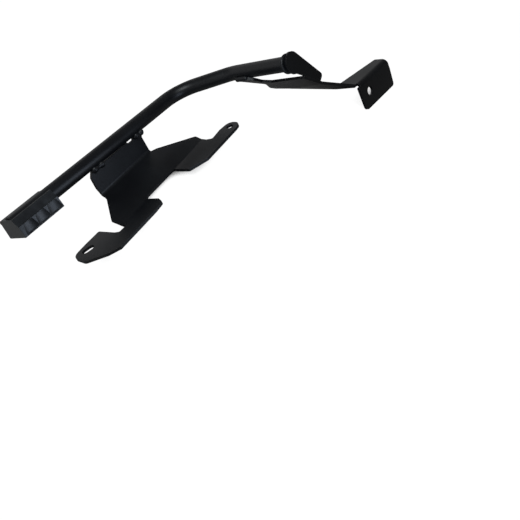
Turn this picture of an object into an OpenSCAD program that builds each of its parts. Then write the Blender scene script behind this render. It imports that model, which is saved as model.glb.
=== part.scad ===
// Pannier frame, left-hand side: one bent tube with two welded sheet brackets and a moulded end block.
// The frame lies as it does on the floor: +Z up, longest side along X.

/* [Tube] */
// Outside diameter of the tube
tube_d = 20.9; // [18:0.1:26]
// Wall thickness of the tube
tube_wall = 2; // [1.5:0.1:3]
// Long leg, from the datum at the end block to the first corner
leg_a = 286.8; // [250:0.1:330]
// Middle leg, corner to corner
leg_b = 93.1; // [80:0.1:110]
// Short leg, from the second corner to the end plate
leg_c = 113.0; // [95:0.1:130]
// First bend
bend_1 = 70; // [60:0.1:80]
// Second bend
bend_2 = 25.72; // [15:0.1:35]
// Radius and wall that the tube loses where it is bent
bend_thin = 0.03; // [0:0.01:0.2]
// Turn of the tube about its length before the first bend
roll_1 = 159.11; // [150:0.01:170]
// Turn of the tube about its length before the second bend
roll_2 = -2.84; // [-10:0.01:10]
// Turn about the tube from the second bend to the upper bracket
roll_3 = 143.5; // [130:0.1:155]
// Centre-line radius of the first bend
bend_r1 = 46; // [40:1:80]
// Centre-line radius of the second bend
bend_r2 = 48; // [40:1:80]

/* [Sheet brackets] */
// Thickness of the folded brackets
sheet_t = 4; // [3:0.1:6]
// Thickness that the sheet loses in a fold
fold_thin = 0.04; // [0:0.01:0.3]
// Middle radius of the tight folds
fold_r = 6.5; // [5:0.1:9]
// Middle radius of the shallow folds
wide_r = 12; // [8:0.5:20]
// Diameter of the long ear's bolt hole and width of the short ear's slot
bolt_d = 10.5; // [8:0.1:12]

/* [Mid bracket] */
// Distance of the panel's middle plane from the tube's axis at the datum
mid_drop = 52.47; // [45:0.01:60]
// Slope of the panel against the tube
mid_slope = 3.1; // [0:0.1:6]
// Distance of the flange's fold line from the tube's axis, seen square to the panel
flange_in = 12.5; // [8:0.1:18]
// Fold angle of the flange that stands up to the tube
flange_fold = 74.6; // [65:0.1:85]
// Left end of the flange's fold
flange_x0 = 77; // [60:0.5:90]
// Right end of the flange's fold
flange_x1 = 184.5; // [170:0.5:200]
// Distance of the fold line of both ears from the tube's axis
ear_in = 80.5; // [70:0.1:90]
// Skew of the ears' fold line
ear_skew = 2.7; // [0:0.1:5]
// Fold angle of both ears
ear_fold = 16; // [8:0.1:24]
// Bolt hole of the long ear, along its fold
ear_hole_u = 226.2; // [210:0.1:240]
// Bolt hole of the long ear, out from its fold
ear_hole_w = 31.5; // [20:0.1:40]
// Slot of the short ear, along its fold
slot_u = -52.6; // [-60:0.1:-45]
// Slot of the short ear, out from its fold
slot_w = -22; // [-30:0.1:-10]
// Length of the slot, end to end
slot_len = 17.5; // [12:0.1:24]
// Direction of the slot against the fold's square
slot_turn = 68; // [40:0.5:90]

/* [Upper bracket] */
// Line of the gentle fold, out from the tube's axis
strip_fold_y = 68; // [60:0.5:76]
// Angle of the gentle fold
strip_fold = 8; // [4:0.1:14]
// Right edge of the strip, flush with the end plate's outer face
strip_x = 2; // [0:0.1:5]
// Line of the second fold, out from the gentle one
lift_y = 84.5; // [75:0.1:95]
// Skew of the second fold
lift_skew = 17; // [10:0.1:24]
// Angle of the second fold
lift_fold = 32.8; // [25:0.1:40]
// Length of the lifted panel
lift_len = 82.5; // [65:0.1:95]
// Angle of the fold from the lifted panel to the tab
tab_fold = 80.7; // [70:0.1:90]
// Middle radius of that fold
tab_r = 7; // [5:0.1:12]
// Depth of the tab
tab_deep = 39.8; // [30:0.1:48]
// Reach of the tab past the end of its fold
tab_past = 2.6; // [0:0.1:5]
// Bolt hole of the tab, along its fold
tab_hole_u = 19.5; // [15:0.1:30]
// Bolt hole of the tab, out from its fold
tab_hole_w = 18.3; // [12:0.1:26]
// Diameter of the tab's bolt hole
tab_hole_d = 13; // [8:0.1:16]

/* [End plate] */
// Thickness of the teardrop end plate
plate_t = 4; // [3:0.1:6]
// Radius of the plate's round end
plate_r = 14; // [12:0.1:18]
// Distance of the round end's middle from the tube's axis, towards the tip
plate_off = 5.5; // [0:0.1:10]
// Reach of the plate's tip from the tube's axis
plate_tip = 67.3; // [55:0.1:75]

/* [End block] */
// Free end of the block, back from the datum
block_back = 61.3; // [50:0.1:75]
// Tube-side end of the block, forward from the datum
block_front = 7; // [0:0.1:15]
// Thickness of the wall that closes the block's free end
block_end = 3; // [2:0.1:6]
// Half width of the block's foot
block_half = 18.4; // [16:0.1:24]
// Depth of the block under the tube's axis
block_deep = 18.6; // [15:0.1:25]
// Height of the block's lips over the tube's axis
block_lip = 7.6; // [6:0.1:10]
// Width of the open channel over the tube
channel_w = 16.2; // [10:0.1:18]
// Distance of the channel's middle from the tube's axis
channel_off = 0.8; // [0:0.1:2]
// Radius of the three finger flutes on the sloping side
flute_r = 24; // [20:0.5:32]
// Turn of the block about the tube
block_turn = -22.5; // [-40:0.1:0]

/* [Welds] */
// Radius of the weld beads
bead_r = 3; // [2:0.1:5]

/* [Hidden] */
$fn = 48;
tube_r = tube_d / 2;
bore_r = tube_r - tube_wall;
tube_start = -(block_back - block_end);
tan_1 = bend_r1 * tan(bend_1 / 2);
tan_2 = bend_r2 * tan(bend_2 / 2);
strip_z = -(tube_r + sheet_t / 2);
reach = 0.3;
fold_side = 0.05;
edge_turn = 14.4;
steel = [0.075, 0.078, 0.082];
steel_weld = [0.085, 0.087, 0.09];
moulding = [0.15, 0.155, 0.165];

// Frames of the long leg, the short leg and the mid bracket

module at_leg_a() {
    translate([-216.852, -120.072, 64.796])
    rotate([-10.04, 7.38, 58.35])
    children();
}

module at_leg_c() {
    at_leg_a()
    translate([leg_a, 0, 0])
    rotate([roll_1, 0, 0])
    rotate([0, 0, bend_1])
    translate([leg_b, 0, 0])
    rotate([roll_2, 0, 0])
    rotate([0, 0, bend_2])
    translate([leg_c, 0, 0])
    rotate([roll_3, 0, 0])
    children();
}

module at_mid() {
    at_leg_a()
    translate([2.84, 0, -mid_drop])
    rotate([0, -mid_slope, 0])
    children();
}

// Frame of the ears: X back along the fold, Y out from it
module at_ears() {
    at_mid()
    translate([43, -ear_in, 0])
    rotate([0, 0, 180 + ear_skew])
    children();
}

// Frame of the lifted panel: X along its fold, Y up the panel before it folds
module at_lift() {
    at_leg_c()
    translate([0, strip_fold_y, strip_z])
    rotate([strip_fold, 0, 0])
    translate([0, lift_y, 0])
    rotate([0, 0, lift_skew])
    children();
}

// Frame of the tab: X along its fold, turned so that the tab's plane is square to the tube
module at_tab() {
    at_lift()
    rotate([lift_fold, 0, 0])
    rotate([0, 0, -90 - edge_turn])
    children();
}

// Outlines: a list of corners [x, y, radius] becomes points, with an arc at each corner

function corner(p, q, s, r, n) =
    let (a = (p - q) / norm(p - q), b = (s - q) / norm(s - q))
    let (h = acos(a * b) / 2, d = r / tan(h))
    let (c = q + (a + b) / norm(a + b) * r / sin(h))
    let (e = q + a * d - c, f = q + b * d - c)
    let (t = atan2(e[1], e[0]), g = (atan2(f[1], f[0]) - t + 540) % 360 - 180)
    [for (i = [0:n]) c + r * [cos(t + g * i / n), sin(t + g * i / n)]];

function xy(v) = [v[0], v[1]];

function outline(k) =
    let (n = len(k))
    [for (i = [0:n - 1])
        each k[i][2] > 0 ?
            corner(xy(k[(i + n - 1) % n]), xy(k[i]), xy(k[(i + 1) % n]), k[i][2], k[i][2] > 5 ? 10 : 5) :
            [xy(k[i])]];

function turned(p, a) = [p[0] * cos(a) - p[1] * sin(a), p[0] * sin(a) + p[1] * cos(a)];

module panel(k) {
    translate([0, 0, -sheet_t / 2])
    linear_extrude(sheet_t)
    polygon(outline(k));
}

// Fold on the line y = 0 from x0 to x1, towards +Z
module fold(x0, x1, a, r) {
    t = sheet_t - fold_thin;
    translate([x0 + fold_side, -r * tan(a / 2), r])
    rotate([0, 90, 0])
    rotate_extrude(angle = a)
    translate([r - t / 2, 0])
    square([t, x1 - x0 - 2 * fold_side]);
}

// The tube's line as straight and bent lengths with any outer radius r and bore q
module tube_line(r, q) {
    at_leg_a() {
        length(tube_start, leg_a - tan_1 + reach, r, q);
        translate([leg_a, 0, 0])
        rotate([roll_1, 0, 0]) {
            bend(bend_1, bend_r1, tan_1, r, q);
            rotate([0, 0, bend_1]) {
                length(tan_1 - reach, leg_b - tan_2 + reach, r, q);
                translate([leg_b, 0, 0])
                rotate([roll_2, 0, 0]) {
                    bend(bend_2, bend_r2, tan_2, r, q);
                    rotate([0, 0, bend_2])
                    length(tan_2 - reach, leg_c - plate_t / 2, r, q);
                }
            }
        }
    }
}

module length(x0, x1, r, q) {
    translate([x0, 0, 0])
    rotate([0, 90, 0])
    linear_extrude(x1 - x0)
    ring(r, q);
}

module bend(a, rad, t, r, q) {
    translate([-t, rad, 0])
    rotate([0, 0, -90])
    rotate_extrude(angle = a)
    translate([rad, 0])
    ring(r - bend_thin, q > 0 ? q + bend_thin : 0);
}

module ring(r, q) {
    difference() {
        circle(r = r);
        if (q > 0)
            circle(r = q);
    }
}

module main_tube() {
    color(steel)
    tube_line(tube_r, bore_r);
}

// Moulded block clipped over the tube's free end, with an open channel, a ledge and a side with finger flutes
module end_block() {
    long = block_back + block_front;
    side = channel_off - channel_w / 2;
    lip = channel_off + channel_w / 2 + 3.3;
    body = [[-block_half, 0.3 - block_deep, 1], [block_half, -block_deep, 1], [block_half - 0.8, 0.8, 0.3],
        [block_half - 0.8, 2.6, 0.3], [block_half + 0.2, 3, 0.4], [block_half + 0.2, block_lip - 0.7, 0.6],
        [lip + 1.2, block_lip - 0.7, 0], [lip + 1.1, block_lip - 1.6, 0], [lip + 0.2, block_lip - 1.6, 0],
        [lip, block_lip, 0.3], [side - 2.9, block_lip, 0.6], [-14.7, -2.3, 0.3], [-16.2, -2.7, 0.3]];
    color(moulding)
    at_leg_a()
    rotate([block_turn, 0, 0])
    difference() {
        translate([-block_back, 0, 0])
        rotate([90, 0, 90])
        linear_extrude(long)
        polygon(outline(body));
        translate([tube_start, 0, 0])
        rotate([0, 90, 0])
        cylinder(r = tube_r, h = long);
        translate([tube_start, side, 0])
        cube([long, channel_w, 30]);
        flutes();
    }
}

// Three round flutes in the block's sloping side, deeper at the foot, inside a thin rim
module flutes() {
    x0 = 4.3 - block_back;
    x1 = block_front - 1.4;
    pitch = (x1 - x0) / 3;
    top = -3.4;
    foot = 1.9 - block_deep;
    intersection() {
        translate([x0, -30, foot])
        cube([x1 - x0, 20, top - foot]);
        for (i = [0.5:2.5])
            translate([x0 + i * pitch, -15.1, top])
            rotate([-1.3, 0, 0])
            translate([0, -flute_r, -20])
            cylinder(r = flute_r, h = 26);
    }
}

// Flange of the mid bracket, in the frame of its fold line, with two tongues that reach the tube
module flange() {
    f = fold_r * tan(flange_fold / 2) - reach;
    rotate([flange_fold, 0, 0])
    panel([[flange_x0, f, 0], [75.1, 13, 3], [75.2, 30, 3], [81, 38, 1.5], [82, 45, 0],
        [99.5, 45, 0], [100.5, 36.3, 1.5], [155, 34.8, 1], [158, 31.2, 1], [167, 31, 2],
        [170, 42, 0], [189, 42, 0],
        [191.6, 35, 2], [183, 26, 4], [flange_x1, f, 0]]);
}

// Mid bracket: panel under the tube, flange up to the tube, and two ears on one fold line
module mid_bracket() {
    f = fold_r * tan(flange_fold / 2) - reach;
    e = wide_r * tan(ear_fold / 2) - reach;
    k = tan(ear_skew);
    color(steel)
    difference() {
        union() {
            at_mid() {
                panel([[flange_x0, -flange_in - f, 0], [74.9, -22.6, 3], [41.9, -58.7, 3],
                    [41.2, -ear_in + e - 1.8 * k, 0], [96.5, -ear_in + e + 53.5 * k, 0],
                    [103, -73.8, 3], [122, -73.4, 3], [155, -72.8, 3],
                    [164, -ear_in + e + 121 * k, 0],
                    [237.9, -ear_in + e + 194.9 * k, 0],
                    [240.1, -57.8, 4], [192.6, -20.6, 3], [flange_x1, -flange_in - f, 0]]);
                translate([0, -flange_in, 0]) {
                    fold(flange_x0, flange_x1, flange_fold, fold_r);
                    flange();
                }
            }
            // Long ear
            at_ears()
            fold(-195.4, -120.9, ear_fold, wide_r);
            at_ears()
            rotate([ear_fold, 0, 0])
            panel([[-195.4, e, 0], [-193.8, 9, 2], [-196, 19, 3], [-217.8, 17.9, 4],
                [-239.6, 22.2, 11], [-237.2, 44.2, 12], [-222, 45.8, 12], [-147, 43, 6], [-120.9, 27, 3],
                [-120.9, e, 0]]);
            // Short ear
            at_ears()
            fold(-53.8, 1.8, ear_fold, wide_r);
            at_ears()
            rotate([ear_fold, 0, 0])
            panel([[-53.8, e, 0], [-55.2, 20, 4], [-49.2, 31, 6], [-30, 32.3, 4], [43, 29.3, 2], [57, 18, 5],
                [75.2, -8, 8], [70.4, -35.4, 13], [45, -35.2, 12], [17.5, -33.2, 2.5], [17.4, -3, 2.5],
                [15.4, 4, 2], [1.8, 5.8, 1.5], [1.8, e, 0]]);
        }
        tube_line(tube_r, 0);
        // Bolt hole and slot
        at_ears()
        rotate([ear_fold, 0, 0])
        translate([-ear_hole_u, ear_hole_w, -sheet_t])
        cylinder(d = bolt_d, h = 2 * sheet_t);
        at_ears()
        rotate([ear_fold, 0, 0])
        translate([-slot_u, slot_w, -sheet_t])
        rotate([0, 0, slot_turn])
        slot(bolt_d, slot_len);
    }
}

module slot(d, l) {
    for (i = [-1, 1])
        translate([0, i * (l - d) / 2, 0])
        cylinder(d = d, h = 2 * sheet_t);
    translate([-d / 2, -(l - d) / 2, 0])
    cube([d, l - d, 2 * sheet_t]);
}

// Upper bracket: strip tangent under the short leg, lifted panel and a tab square to the tube
module upper_bracket() {
    g = wide_r * tan(strip_fold / 2) - reach;
    h = fold_r * tan(lift_fold / 2) - reach;
    t = tab_r * tan(tab_fold / 2) - reach;
    a = turned([-t, -h], lift_skew);
    b = turned([-34.5, -h], lift_skew);
    color(steel)
    difference() {
        union() {
            at_leg_c()
            translate([0, 0, strip_z]) {
                panel([[-100, -4, 2], [-76, -4, 1], [-69.5, 3, 3], [-68, 18, 3], [-57, 26.4, 1.5],
                    [strip_x, 28.8, 0], [strip_x, strip_fold_y - g, 0], [-61, strip_fold_y - g, 0],
                    [-80, 58, 3], [-84, 50, 3], [-72, 29, 5], [-93, 1, 4]]);
                translate([0, strip_fold_y, 0]) {
                    fold(-61, strip_x, strip_fold, wide_r);
                    rotate([strip_fold, 0, 0])
                    panel([[strip_x, g, 0], [strip_x, lift_y - 8, 2], [a[0], lift_y - 7, 1],
                        [a[0], lift_y + a[1], 0], [b[0], lift_y + b[1], 0], [-61, g, 0]]);
                }
            }
            at_lift() {
                fold(-34.5, -t, lift_fold, fold_r);
                rotate([lift_fold, 0, 0])
                panel([[-34.5, h, 0], [-32.8, 10.5, 3], [1.3, lift_len, 3], concat(lift_corner(t), 0),
                    concat(lift_start(t), 0), [-t, h, 0]]);
            }
            at_tab() {
                mirror([0, 0, 1])
                fold(-lift_len, -4, tab_fold, tab_r);
                rotate([-tab_fold, 0, 0])
                panel([[-4, t, 0], [-3.6, 1.4, 0.5], [tab_past, 2.2, 1.5], [tab_past, tab_deep, 6],
                    [-78.4, tab_deep, 5], [0.6 - lift_len, 14, 4], [0.4 - lift_len, t, 0]]);
            }
        }
        at_tab()
        rotate([-tab_fold, 0, 0])
        translate([-tab_hole_u, tab_hole_w, -sheet_t])
        cylinder(d = tab_hole_d, h = 2 * sheet_t);
    }
}

// Ends of the lifted panel's right edge, t in from the tab's corner line
function lift_corner(t) = turned([-t, lift_len + 0.4], -edge_turn);
function lift_start(t) = turned([-t, 4], -edge_turn);

// Teardrop plate that closes the short leg and stands on the strip
module end_plate() {
    foot = -tube_r;
    left = plate_off - plate_r;
    color(steel)
    at_leg_c()
    translate([-plate_t / 2, 0, 0])
    rotate([90, 0, 90])
    linear_extrude(plate_t)
    polygon(outline([[left, 2.1 - plate_r, plate_r - 0.1], [12.6, 2.1 - plate_r, 3], [16, foot + 0.75, 2],
        [31, foot + 0.75, 0], [31, foot, 0], [plate_tip - 3, foot, 1], [plate_tip, 0.1, 4.5],
        [left, plate_r + 8, plate_r - 0.1]]));
}

// Weld beads
module weld_plate_ring() {
    color(steel_weld)
    at_leg_c()
    translate([-2, 0, 0])
    rotate([0, -90, 0])
    rotate_extrude()
    polygon([[tube_r, 0], [tube_r + bead_r, 0], [tube_r + 0.6 * bead_r, 0.62 * bead_r], [tube_r, bead_r]]);
}

module weld_plate_foot() {
    color(steel_weld)
    at_leg_c()
    translate([-2, 34, -tube_r])
    difference() {
        union() {
            rotate([-90, 0, 0])
            cylinder(r = bead_r, h = 25);
            sphere(r = bead_r);
            translate([0, 25, 0])
            sphere(r = bead_r);
        }
        translate([0, -10, -10])
        cube([20, 50, 20]);
        translate([-20, -10, -20])
        cube([40, 50, 20]);
    }
}

module weld_strip() {
    color(steel_weld)
    difference() {
        at_leg_c()
        translate([-95, -5, strip_z + 0.3]) {
            rotate([0, 90, 0])
            cylinder(r = bead_r + 0.6, h = 16);
            sphere(r = bead_r + 0.6);
            translate([16, 0, 0])
            sphere(r = bead_r + 0.6);
        }
        at_leg_c()
        translate([-130, 0, 0])
        rotate([0, 90, 0])
        cylinder(r = tube_r, h = 100);
        at_leg_c()
        translate([-130, -4, strip_z - sheet_t / 2])
        cube([80, 40, sheet_t]);
    }
}

module flange_bead(x0, x1) {
    color(steel_weld)
    difference() {
        at_leg_a()
        rotate([-15.4, 0, 0])
        translate([x0, 0, -tube_r - 0.4]) {
            rotate([0, 90, 0])
            cylinder(r = bead_r + 1, h = x1 - x0);
            sphere(r = bead_r + 1);
            translate([x1 - x0, 0, 0])
            sphere(r = bead_r + 1);
        }
        tube_line(tube_r, 0);
        at_mid()
        translate([0, -flange_in, 0])
        flange();
    }
}

module weld_flange_rear() {
    flange_bead(82, 100.5);
}

module weld_flange_front() {
    flange_bead(172, 189);
}

main_tube();
end_block();
mid_bracket();
upper_bracket();
end_plate();
weld_plate_ring();
weld_plate_foot();
weld_strip();
weld_flange_rear();
weld_flange_front();
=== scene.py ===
import math

import bpy
import numpy as np
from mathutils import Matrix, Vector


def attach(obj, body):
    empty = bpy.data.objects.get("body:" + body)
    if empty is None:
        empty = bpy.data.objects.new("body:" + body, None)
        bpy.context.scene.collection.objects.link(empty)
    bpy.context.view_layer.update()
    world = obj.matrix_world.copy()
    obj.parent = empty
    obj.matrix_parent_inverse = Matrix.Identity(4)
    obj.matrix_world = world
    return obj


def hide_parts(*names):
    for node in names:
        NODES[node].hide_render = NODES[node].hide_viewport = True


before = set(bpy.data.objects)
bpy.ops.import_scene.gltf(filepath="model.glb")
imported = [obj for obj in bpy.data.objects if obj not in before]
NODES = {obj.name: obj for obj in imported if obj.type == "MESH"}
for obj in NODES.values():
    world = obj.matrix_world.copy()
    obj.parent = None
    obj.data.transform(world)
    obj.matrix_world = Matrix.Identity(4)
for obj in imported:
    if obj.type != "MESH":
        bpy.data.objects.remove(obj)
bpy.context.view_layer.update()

bl_info = {
    "name": "Pannier frame looks",
    "version": (1, 0, 0),
    "blender": (4, 5, 0),
    "location": "View3D > Sidebar > Frame",
    "description": "Satin black powder coat, weld beads and moulded block for a pannier frame",
    "category": "Object",
}

MM = 0.001

# Which pieces share a finish
TUBE_NODES = ("main_tube", "end_plate")
BRACKET_NODES = ("mid_bracket", "upper_bracket")
BLOCK_NODES = ("end_block",)

# Powder coat, in millimetres: width of its clouds, specks and slow waves, and height of the waves and of
# its orange peel. Real specks are finer, and are drawn as coarse as they need to be to show.
COAT_IOR = 1.46
CLOUD = 45.0
SPECK = 0.9
SPECK_COLOUR = "#3a3c40"
WAVE = 12.0
WAVE_HEIGHT = 0.6
PEEL_HEIGHT = 0.06

# Painted highlight on the weld beads: how much lighter their coat is painted, as a share of the coat
# elsewhere, for the light that the beads catch
WELD_PAINTED_HIGHLIGHT = 1.15

# Moulded block, in millimetres: width of its bloom's patches and of its grain, height of the grain and
# radius of its edges. A real grain is finer, and is drawn as coarse as it needs to be to show.
RUBBER_IOR = 1.62
BLOOM = 14.0
GRAIN = 0.7
GRAIN_HEIGHT = 0.08
BLOCK_EDGE = 0.6

# Ring bead round the tube at the end plate, in millimetres in the part's frame
RING_CENTRE = (93.70, 62.55, 128.20)
RING_AXIS = (0.7011, -0.4678, 0.5381)
TUBE_RADIUS = 10.45

# Straight beads, in millimetres: the node that each stands for, its two ends, its radius and how much
# thinner its middle is, as a share of the radius
BEADS = {
    "bead_plate_foot": ("weld_plate_foot", (117.13, 67.38, 101.87), (134.88, 77.05, 87.15), 2.8, 0.0),
    "bead_strip": ("weld_strip", (24.13, 94.46, 73.77), (35.35, 86.98, 82.38), 3.6, 0.0),
    "bead_flange_rear": (
        "weld_flange_rear", (-165.82, -56.36, 48.0), (-158.19, -43.11, 45.34), 5.2, 0.35),
    "bead_flange_front": (
        "weld_flange_front", (-119.46, 19.28, 36.17), (-113.58, 27.99, 35.51), 5.0, 0.35),
}

# A round end stops at this share of its radius, just before its circles close to a point
ROUND_END = 0.995

# Grid of a bead's points: along it, then round its section
BEAD_GRID = (120, 36)
RING_GRID = (260, 24)

# Camera: where it stood in the part's frame, in millimetres, how far it looked down, in degrees, its lens
# and the width of its sensor, in millimetres, and how near it starts to see, in metres
CAMERA_AT = (56.148, -727.572, 774.796)
LOOK_DOWN = 54.28
LENS = 50.76
SENSOR = 36.0
CLIP_START = 0.01

# Floor, in metres: half its side, and how far off an object still shades what it shows to the camera and
# in reflections
FLOOR_HALF = 6.0
CLOSE_SHADE = 0.06
WIDE_SHADE = 0.45

# The studio is bright where x + LEAN * y is 0 or less. From there it dims, until that reaches the first
# number of the floor's or the sky's pair, to the second, as a share
LEAN = -0.8
DIM_FLOOR = (0.35, 0.1)
DIM_SKY = (0.9, 0.15)

# The studio's sky: height from the horizon at 0 to overhead at 1, brightness, and blue as a share of it
SKY = ((0.0, 0.5, 1.0), (0.05, 0.62, 1.01), (0.15, 0.70, 1.01), (0.34, 0.09, 1.01), (0.43, 0.02, 1.01),
       (0.6, 0.08, 1.01), (1.0, 0.1, 1.02))

# Lamps, each with the power that the stage setting of its name gives: place, aim and size in metres, and
# sRGB tint
LAMPS = {
    "key": ((-0.35, -0.55, 2.0), (0.0, 0.0, 0.0), 1.1, "#f4fbff"),
    "fill": ((-0.9, -0.9, 1.7), (0.0, 0.0, 0.0), 0.9, "#f4fbff"),
    "low": ((0.12, -0.13, 0.15), (-0.23, -0.13, 0.06), 0.20, "#dceaff"),
}


class FrameFinish(bpy.types.PropertyGroup):
    """Colours and grain of the coated steel and of the block."""
    coat: bpy.props.StringProperty(
        name="Coat", description="sRGB colour of the powder coat", default="#0f1013")
    coat_dust: bpy.props.StringProperty(
        name="Coat bloom", description="sRGB colour of the coat's paler patches", default="#15171a")
    block: bpy.props.StringProperty(
        name="Block", description="sRGB colour of the moulded block", default="#17191c")
    block_dust: bpy.props.StringProperty(
        name="Block bloom", description="sRGB colour of the block's paler bloom", default="#222528")
    coat_rough: bpy.props.FloatProperty(
        name="Coat roughness", description="Roughness of the satin coat",
        default=0.40, min=0.0, max=1.0, subtype="FACTOR")
    block_rough: bpy.props.FloatProperty(
        name="Block roughness", description="Roughness of the moulding",
        default=0.40, min=0.0, max=1.0, subtype="FACTOR")
    peel: bpy.props.FloatProperty(
        name="Orange peel", description="Width of one ripple of the powder coat, in mm",
        default=1.1, min=0.2)
    edge: bpy.props.FloatProperty(
        name="Edge", description="Radius that the coat gives a cut edge, in mm", default=0.5, min=0.0)


class FrameWelds(bpy.types.PropertyGroup):
    """Sizes of the weld beads."""
    ring: bpy.props.FloatProperty(
        name="Ring", description="Radius of the ring bead's section, in mm", default=2.6, min=0.5)
    ripple: bpy.props.FloatProperty(
        name="Ripple", description="Distance from one ripple to the next, in mm", default=1.6, min=0.4)
    depth: bpy.props.FloatProperty(
        name="Depth", description="Depth of a ripple as a share of the radius",
        default=0.06, min=0.0, max=0.4, subtype="FACTOR")


class FrameStage(bpy.types.PropertyGroup):
    """Floor and lamps."""
    floor: bpy.props.StringProperty(
        name="Floor", description="sRGB colour of the floor's paint", default="#484848")
    glow: bpy.props.FloatProperty(
        name="Glow", description="Light of the pale floor where the camera sees it", default=1.0, min=0.0)
    mirror: bpy.props.FloatProperty(
        name="Mirror", description="Light of the pale floor in reflections", default=0.34, min=0.0)
    key: bpy.props.FloatProperty(
        name="Key", description="Power of the key lamp, in W", default=17.0, min=0.0, unit="POWER")
    fill: bpy.props.FloatProperty(
        name="Fill", description="Power of the fill lamp, in W", default=5.0, min=0.0, unit="POWER")
    low: bpy.props.FloatProperty(
        name="Low", description="Power of the small lamp beside the block, in W",
        default=0.27, min=0.0, unit="POWER")


def linear(code, strength=1.0):
    """Turns an sRGB hex value into linear red, green, blue and alpha: ((c + 0.055) / 1.055) to the power
    2.4, or c / 12.92 where it is dark, times the strength."""
    levels = [int(code[i:i + 2], 16) / 255 for i in (1, 3, 5)]
    light = [c / 12.92 if c <= 0.04045 else ((c + 0.055) / 1.055) ** 2.4 for c in levels]
    return tuple(c * strength for c in light) + (1.0,)


def add(tree, kind, links=(), **settings):
    """Adds one node. The settings are its properties. A link is an input's name or number, and a value,
    another node's output, or a node, whose first output it takes."""
    node = tree.nodes.new(kind)
    for key, value in settings.items():
        setattr(node, key, value)
    for socket, source in links:
        if isinstance(source, bpy.types.Node):
            source = source.outputs[0]
        if isinstance(source, bpy.types.NodeSocket):
            tree.links.new(source, node.inputs[socket])
        else:
            node.inputs[socket].default_value = source
    return node


def new_material(name):
    """An empty node material of that name."""
    material = bpy.data.materials.new(name)
    material.use_nodes = True
    material.node_tree.nodes.clear()
    return material


def powder_coat(finish, name, strength=1.0):
    """Satin black polyester powder coat, sprayed and baked on steel. It gives a fine orange peel,
    soft rounded edges and a slightly uneven sheen, with a faint bloom of dust in random patches."""
    material = new_material(name)
    tree = material.node_tree
    place = add(tree, "ShaderNodeTexCoord").outputs["Object"]
    cloud = add(tree, "ShaderNodeTexNoise", [
        ("Vector", place), ("Scale", 1 / (CLOUD * MM)), ("Detail", 3.0), ("Roughness", 0.5)])
    speck = add(tree, "ShaderNodeTexNoise", [
        ("Vector", place), ("Scale", 1 / (SPECK * MM)), ("Detail", 2.0), ("Roughness", 0.6)])
    wave = add(tree, "ShaderNodeTexNoise", [
        ("Vector", place), ("Scale", 1 / (WAVE * MM)), ("Detail", 1.0), ("Roughness", 0.5)])
    peel = add(tree, "ShaderNodeTexNoise", [
        ("Vector", place), ("Scale", 1 / (finish.peel * MM)), ("Detail", 2.0), ("Roughness", 0.45)])
    dusty = add(tree, "ShaderNodeMapRange", [("Value", cloud), ("From Min", 0.35), ("From Max", 0.7)])
    # A strength above 1 paints the coat lighter: the painted highlight on the weld beads
    mixed = add(tree, "ShaderNodeMix", [
        (0, dusty), (6, linear(finish.coat, strength)), (7, linear(finish.coat_dust, strength))],
        data_type="RGBA")
    dots = add(tree, "ShaderNodeMapRange", [
        ("Value", speck), ("From Min", 0.62), ("From Max", 0.72), ("To Max", 0.25)])
    dotted = add(tree, "ShaderNodeMix", [
        (0, dots), (6, mixed.outputs[2]), (7, linear(SPECK_COLOUR))], data_type="RGBA")
    rough = add(tree, "ShaderNodeMapRange", [
        ("Value", cloud), ("From Min", 0.3), ("From Max", 0.7),
        ("To Min", finish.coat_rough - 0.04), ("To Max", finish.coat_rough + 0.05)])
    edge = add(tree, "ShaderNodeBevel", [("Radius", finish.edge * MM)], samples=6)
    waved = add(tree, "ShaderNodeBump", [
        ("Height", wave), ("Strength", 0.10), ("Distance", WAVE_HEIGHT * MM), ("Normal", edge)])
    peeled = add(tree, "ShaderNodeBump", [
        ("Height", peel), ("Strength", 0.28), ("Distance", PEEL_HEIGHT * MM), ("Normal", waved)])
    coat = add(tree, "ShaderNodeBsdfPrincipled", [
        ("Base Color", dotted.outputs[2]), ("Roughness", rough), ("IOR", COAT_IOR), ("Normal", peeled)])
    add(tree, "ShaderNodeOutputMaterial", [("Surface", coat)])
    return material


def moulded_rubber(finish):
    """Hard black rubber, moulded in a spark-eroded tool. It gives a dull, slightly blue grey sheen, a
    fine even grain and a pale bloom that settles unevenly."""
    material = new_material("moulded_rubber")
    tree = material.node_tree
    place = add(tree, "ShaderNodeTexCoord").outputs["Object"]
    bloom = add(tree, "ShaderNodeTexNoise", [
        ("Vector", place), ("Scale", 1 / (BLOOM * MM)), ("Detail", 4.0), ("Roughness", 0.6)])
    grain = add(tree, "ShaderNodeTexVoronoi", [("Vector", place), ("Scale", 1 / (GRAIN * MM))])
    dusty = add(tree, "ShaderNodeMapRange", [("Value", bloom), ("From Min", 0.35), ("From Max", 0.7)])
    mixed = add(tree, "ShaderNodeMix", [
        (0, dusty), (6, linear(finish.block)), (7, linear(finish.block_dust))], data_type="RGBA")
    rough = add(tree, "ShaderNodeMapRange", [
        ("Value", bloom), ("From Min", 0.3), ("From Max", 0.7),
        ("To Min", finish.block_rough - 0.05), ("To Max", finish.block_rough + 0.06)])
    edge = add(tree, "ShaderNodeBevel", [("Radius", BLOCK_EDGE * MM)], samples=6)
    grained = add(tree, "ShaderNodeBump", [
        ("Height", grain), ("Strength", 0.08), ("Distance", GRAIN_HEIGHT * MM), ("Normal", edge)])
    rubber = add(tree, "ShaderNodeBsdfPrincipled", [
        ("Base Color", mixed.outputs[2]), ("Roughness", rough), ("IOR", RUBBER_IOR), ("Normal", grained)])
    add(tree, "ShaderNodeOutputMaterial", [("Surface", rubber)])
    return material


def dress(names, material):
    """Gives CAD nodes a material."""
    for name in names:
        mesh = NODES[name].data
        mesh.materials.clear()
        mesh.materials.append(material)


def unit(vector):
    """The vector over its length."""
    vector = np.asarray(vector, float)
    return vector / np.linalg.norm(vector)


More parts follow.
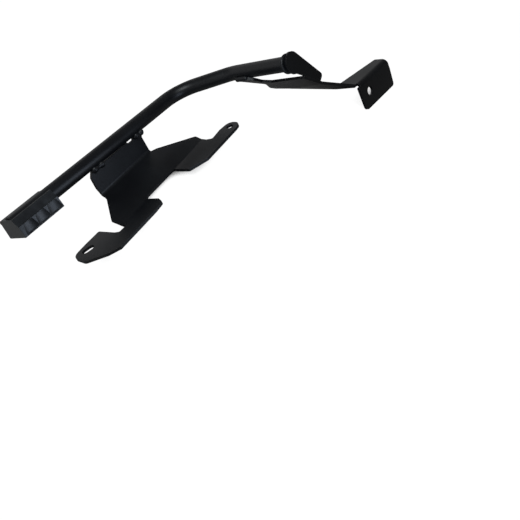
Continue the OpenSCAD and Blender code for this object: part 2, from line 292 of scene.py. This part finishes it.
def spokes(axis, turns):
    """Unit vectors square to the axis, cos(turn) * side + sin(turn) * rise for each turn, where side is
    level and rise is square to it and to the axis."""
    side = unit(np.cross(axis, (0.0, 0.0, 1.0)))
    rise = np.cross(axis, side)
    return np.cos(turns)[:, None] * side + np.sin(turns)[:, None] * rise


def grid_mesh(name, points, closed_rows, material):
    """A mesh from points on a grid of rows and columns, in millimetres. The columns close on themselves,
    and so do the rows if closed_rows. Otherwise each end row is closed by a fan round its mean point."""
    rows, cols = points.shape[:2]
    last_row = rows if closed_rows else rows - 1
    row, col = np.meshgrid(np.arange(last_row), np.arange(cols), indexing="ij")
    next_row, next_col = (row + 1) % rows, (col + 1) % cols
    corners = [row * cols + col, row * cols + next_col, next_row * cols + next_col, next_row * cols + col]
    faces = np.stack(corners, -1).reshape(-1, 4).tolist()
    verts = points.reshape(-1, 3)
    if not closed_rows:
        verts = np.vstack([verts, points[0].mean(0), points[-1].mean(0)])
        here = np.arange(cols)
        after = (here + 1) % cols
        end_row = (rows - 1) * cols
        first = np.stack([np.full(cols, rows * cols), after, here], -1)
        last = np.stack([np.full(cols, rows * cols + 1), end_row + here, end_row + after], -1)
        faces += first.tolist() + last.tolist()
    mesh = bpy.data.meshes.new(name)
    mesh.from_pydata((verts * MM).tolist(), [], faces)
    mesh.polygons.foreach_set("use_smooth", np.ones(len(mesh.polygons), bool))
    mesh.materials.append(material)
    mesh.update()
    piece = bpy.data.objects.new(name, mesh)
    bpy.context.scene.collection.objects.link(piece)
    return piece


def ripple(along, step, depth):
    """Height of a laid bead along its length: each ripple is an arch, 1 - depth * (1 - sqrt(1 - x * x))
    with x from -1 to 1 across a step."""
    x = 2 * ((along / step) % 1.0) - 1
    return 1 - depth * (1 - np.sqrt(np.clip(1 - x * x, 0, 1)))


def straight_bead(name, start, end, radius, thinner, welds, material):
    """A bead between two points: circles carried along the line, with the ripple's height on their radius,
    half a step further on at both sides, and round ends, radius * sqrt(1 - u * u) over the last radius of
    its length. At both ends, where the torch was held, it is full, and between them its radius is
    multiplied by 1 - thinner * (1 - cos(2 * pi * along / length)) / 2."""
    start, end = np.asarray(start, float), np.asarray(end, float)
    axis = unit(end - start)
    length = np.linalg.norm(end - start)
    along = np.linspace(-radius * ROUND_END, length + radius * ROUND_END, BEAD_GRID[0])
    u = np.clip(np.maximum(-along, along - length) / radius, 0, 1)
    thin = 1 - thinner * (1 - np.cos(2 * math.pi * along / length)) / 2
    width = radius * np.sqrt(1 - u * u) * thin
    turns = np.linspace(0, 2 * math.pi, BEAD_GRID[1], endpoint=False)
    curved = along[:, None] + 0.5 * welds.ripple * np.cos(turns) ** 2
    out = width[:, None] * ripple(curved, welds.ripple, welds.depth)
    points = start + along[:, None, None] * axis + out[..., None] * spokes(axis, turns)
    return grid_mesh(name, points, False, material)


def ring_bead(name, welds, material):
    """A ring round the tube against the end plate: a circle of the bead's section carried round the tube's
    axis, with the ripple's height on its radius. The section's centre lies 0.3 of its radius out from the
    tube's skin and as far back from the plate. The ripples drift by up to 0.2 of a step, in three waves
    round the ring."""
    axis = unit(RING_AXIS)
    turns = np.linspace(0, 2 * math.pi, RING_GRID[0], endpoint=False)
    section = np.linspace(0, 2 * math.pi, RING_GRID[1], endpoint=False)
    count = round(2 * math.pi * (TUBE_RADIUS + welds.ring) / welds.ripple)
    along = turns * count / (2 * math.pi) + 0.2 * np.sin(3 * turns)
    radius = welds.ring * ripple(along, 1.0, welds.depth)
    offset = 0.3 * welds.ring
    out = TUBE_RADIUS + offset + radius[:, None] * np.cos(section)
    back = -offset + radius[:, None] * np.sin(section)
    points = np.asarray(RING_CENTRE) + out[..., None] * spokes(axis, turns)[:, None] + back[..., None] * axis
    return grid_mesh(name, points, True, material)


def place_bead(piece, node):
    """Puts a bead in its CAD node's place."""
    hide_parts(node)
    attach(piece, "root")


class FRAME_OT_tube(bpy.types.Operator):
    """Coats the bent tube and its end plate"""
    bl_idname = "frame.tube"
    bl_label = "Coat the tube"

    def execute(self, context):
        dress(TUBE_NODES, powder_coat(context.scene.frame_finish, "powder_coat_tube"))
        return {"FINISHED"}


class FRAME_OT_brackets(bpy.types.Operator):
    """Coats the two folded sheet brackets"""
    bl_idname = "frame.brackets"
    bl_label = "Coat the brackets"

    def execute(self, context):
        dress(BRACKET_NODES, powder_coat(context.scene.frame_finish, "powder_coat_sheet"))
        return {"FINISHED"}


class FRAME_OT_block(bpy.types.Operator):
    """Gives the end block its moulded finish"""
    bl_idname = "frame.block"
    bl_label = "Finish the block"

    def execute(self, context):
        dress(BLOCK_NODES, moulded_rubber(context.scene.frame_finish))
        return {"FINISHED"}


class FRAME_OT_welds(bpy.types.Operator):
    """Lays the rippled weld beads in place of the plain ones"""
    bl_idname = "frame.welds"
    bl_label = "Lay the welds"

    def execute(self, context):
        welds = context.scene.frame_welds
        # The beads' coat is painted lighter than the coat elsewhere: a painted highlight
        coat = powder_coat(context.scene.frame_finish, "powder_coat_weld", WELD_PAINTED_HIGHLIGHT)
        place_bead(ring_bead("bead_plate_ring", welds, coat), "weld_plate_ring")
        for name, (node, start, end, radius, thinner) in BEADS.items():
            place_bead(straight_bead(name, start, end, radius, thinner, welds, coat), node)
        return {"FINISHED"}


def leaning(tree, vector):
    """A node that gives x + LEAN * y of a vector."""
    parts = add(tree, "ShaderNodeSeparateXYZ", [(0, vector)])
    return add(tree, "ShaderNodeMath", [
        (0, parts.outputs["Y"]), (1, LEAN), (2, parts.outputs["X"])], operation="MULTIPLY_ADD")


def floor_material(stage):
    """Pale floor: it glows white for the camera and, more weakly, for reflections. The glow fades where
    the object stands close over the floor and, for reflections, away from the studio's bright side."""
    material = new_material("white_floor")
    tree = material.node_tree
    path = add(tree, "ShaderNodeLightPath").outputs
    place = add(tree, "ShaderNodeTexCoord").outputs["Object"]
    close = add(tree, "ShaderNodeAmbientOcclusion", [("Distance", CLOSE_SHADE)], samples=16)
    wide = add(tree, "ShaderNodeAmbientOcclusion", [("Distance", WIDE_SHADE)], samples=8)
    shade = add(tree, "ShaderNodeMapRange", [
        ("Value", close.outputs["AO"]), ("From Min", 0.12), ("From Max", 0.30)])
    free = add(tree, "ShaderNodeMath", [(0, wide.outputs["AO"]), (1, 5.0)], operation="POWER")
    reach, share = DIM_FLOOR
    lit = add(tree, "ShaderNodeMapRange", [
        ("Value", leaning(tree, place)), ("From Max", reach),
        ("To Min", stage.mirror), ("To Max", stage.mirror * share)])
    mirrored = add(tree, "ShaderNodeMath", [
        (0, path["Is Glossy Ray"]), (1, path["Is Transmission Ray"])], operation="MAXIMUM")
    for factor in (lit, free):
        mirrored = add(tree, "ShaderNodeMath", [(0, mirrored), (1, factor)], operation="MULTIPLY")
    direct = path["Is Camera Ray"]
    for factor in (stage.glow, shade):
        direct = add(tree, "ShaderNodeMath", [(0, direct), (1, factor)], operation="MULTIPLY")
    strength = add(tree, "ShaderNodeMath", [(0, direct), (1, mirrored)], operation="MAXIMUM")
    glow = add(tree, "ShaderNodeEmission", [("Color", (1, 1, 1, 1)), ("Strength", strength)])
    paint = add(tree, "ShaderNodeBsdfDiffuse", [("Color", linear(stage.floor))])
    both = add(tree, "ShaderNodeAddShader", [(0, glow), (1, paint)])
    add(tree, "ShaderNodeOutputMaterial", [("Surface", both)])
    return material


def lay_floor(stage):
    """A flat square at the floor's height."""
    half = FLOOR_HALF
    corners = [(-half, -half, 0), (half, -half, 0), (half, half, 0), (-half, half, 0)]
    mesh = bpy.data.meshes.new("floor")
    mesh.from_pydata(corners, [], [(0, 1, 2, 3)])
    mesh.materials.append(floor_material(stage))
    floor = bpy.data.objects.new("floor", mesh)
    bpy.context.scene.collection.objects.link(floor)


def area_lamp(name, at, aim, size, tint, power):
    """A square soft lamp at a point in metres, turned to aim at another, with an sRGB hex tint."""
    data = bpy.data.lights.new(name, "AREA")
    data.shape = "SQUARE"
    data.size = size
    data.energy = power
    data.color = linear(tint)[:3]
    lamp = bpy.data.objects.new(name, data)
    lamp.location = at
    way = Vector(aim) - Vector(at)
    lamp.rotation_euler = way.to_track_quat("-Z", "Y").to_euler()
    lamp.visible_camera = False
    bpy.context.scene.collection.objects.link(lamp)


def studio_world():
    """A white studio: bright near the horizon, where the backdrop stands, dim overhead and on its dim
    side, and plain white for the camera."""
    world = bpy.data.worlds.new("studio")
    bpy.context.scene.world = world
    world.use_nodes = True
    tree = world.node_tree
    tree.nodes.clear()
    way = add(tree, "ShaderNodeTexCoord").outputs["Generated"]
    height = add(tree, "ShaderNodeSeparateXYZ", [(0, way)]).outputs["Z"]
    fade = add(tree, "ShaderNodeValToRGB", [(0, height)])
    stops = fade.color_ramp.elements
    stops.remove(stops[1])
    for number, (position, value, blue) in enumerate(SKY):
        stop = stops.new(position) if number else stops[0]
        stop.position = position
        stop.color = (value, value, value * blue, 1)
    reach, share = DIM_SKY
    side = add(tree, "ShaderNodeMapRange", [
        ("Value", leaning(tree, way)), ("From Max", reach), ("To Min", 1.0), ("To Max", share)])
    sky = add(tree, "ShaderNodeBackground", [("Color", fade), ("Strength", side)])
    white = add(tree, "ShaderNodeBackground", [("Color", (1, 1, 1, 1)), ("Strength", 1.0)])
    seen = add(tree, "ShaderNodeLightPath").outputs["Is Camera Ray"]
    mix = add(tree, "ShaderNodeMixShader", [(0, seen), (1, sky), (2, white)])
    add(tree, "ShaderNodeOutputWorld", [("Surface", mix)])


def place_camera():
    """The camera that the photo was taken with, looking along +Y and down."""
    data = bpy.data.cameras.new("camera")
    data.sensor_width = SENSOR
    data.lens = LENS
    data.clip_start = CLIP_START
    camera = bpy.data.objects.new("camera", data)
    camera.location = [v * MM for v in CAMERA_AT]
    camera.rotation_euler = (math.radians(90 - LOOK_DOWN), 0, 0)
    bpy.context.scene.collection.objects.link(camera)
    bpy.context.scene.camera = camera


class FRAME_OT_stage(bpy.types.Operator):
    """Sets the pale floor, the soft lamps and the camera"""
    bl_idname = "frame.stage"
    bl_label = "Set the stage"

    def execute(self, context):
        stage = context.scene.frame_stage
        lay_floor(stage)
        for name, (at, aim, size, tint) in LAMPS.items():
            area_lamp(name, at, aim, size, tint, getattr(stage, name))
        studio_world()
        place_camera()
        context.scene.view_settings.view_transform = "Standard"
        return {"FINISHED"}


class FRAME_PT_panel(bpy.types.Panel):
    """Lists the pieces and their settings"""
    bl_idname = "FRAME_PT_panel"
    bl_label = "Pannier frame"
    bl_space_type = "VIEW_3D"
    bl_region_type = "UI"
    bl_category = "Frame"

    def draw(self, context):
        for operator in STEPS:
            self.layout.operator(operator.bl_idname)
        for group, kind in GROUPS:
            for name in kind.__annotations__:
                self.layout.prop(getattr(context.scene, group), name)


STEPS = (FRAME_OT_tube, FRAME_OT_brackets, FRAME_OT_block, FRAME_OT_welds, FRAME_OT_stage)
GROUPS = (("frame_finish", FrameFinish), ("frame_welds", FrameWelds), ("frame_stage", FrameStage))


def register():
    """Registers the settings, the operators and the panel."""
    for group, kind in GROUPS:
        bpy.utils.register_class(kind)
        setattr(bpy.types.Scene, group, bpy.props.PointerProperty(type=kind))
    for kind in STEPS + (FRAME_PT_panel,):
        bpy.utils.register_class(kind)


def unregister():
    """Takes back what register did, in the opposite order."""
    for kind in (FRAME_PT_panel,) + STEPS[::-1]:
        bpy.utils.unregister_class(kind)
    for group, kind in GROUPS:
        delattr(bpy.types.Scene, group)
        bpy.utils.unregister_class(kind)


def main():
    """Makes the looks in order."""
    register()
    bpy.ops.frame.tube()
    bpy.ops.frame.brackets()
    bpy.ops.frame.block()
    bpy.ops.frame.welds()
    bpy.ops.frame.stage()


if __name__ == "__main__":
    main()
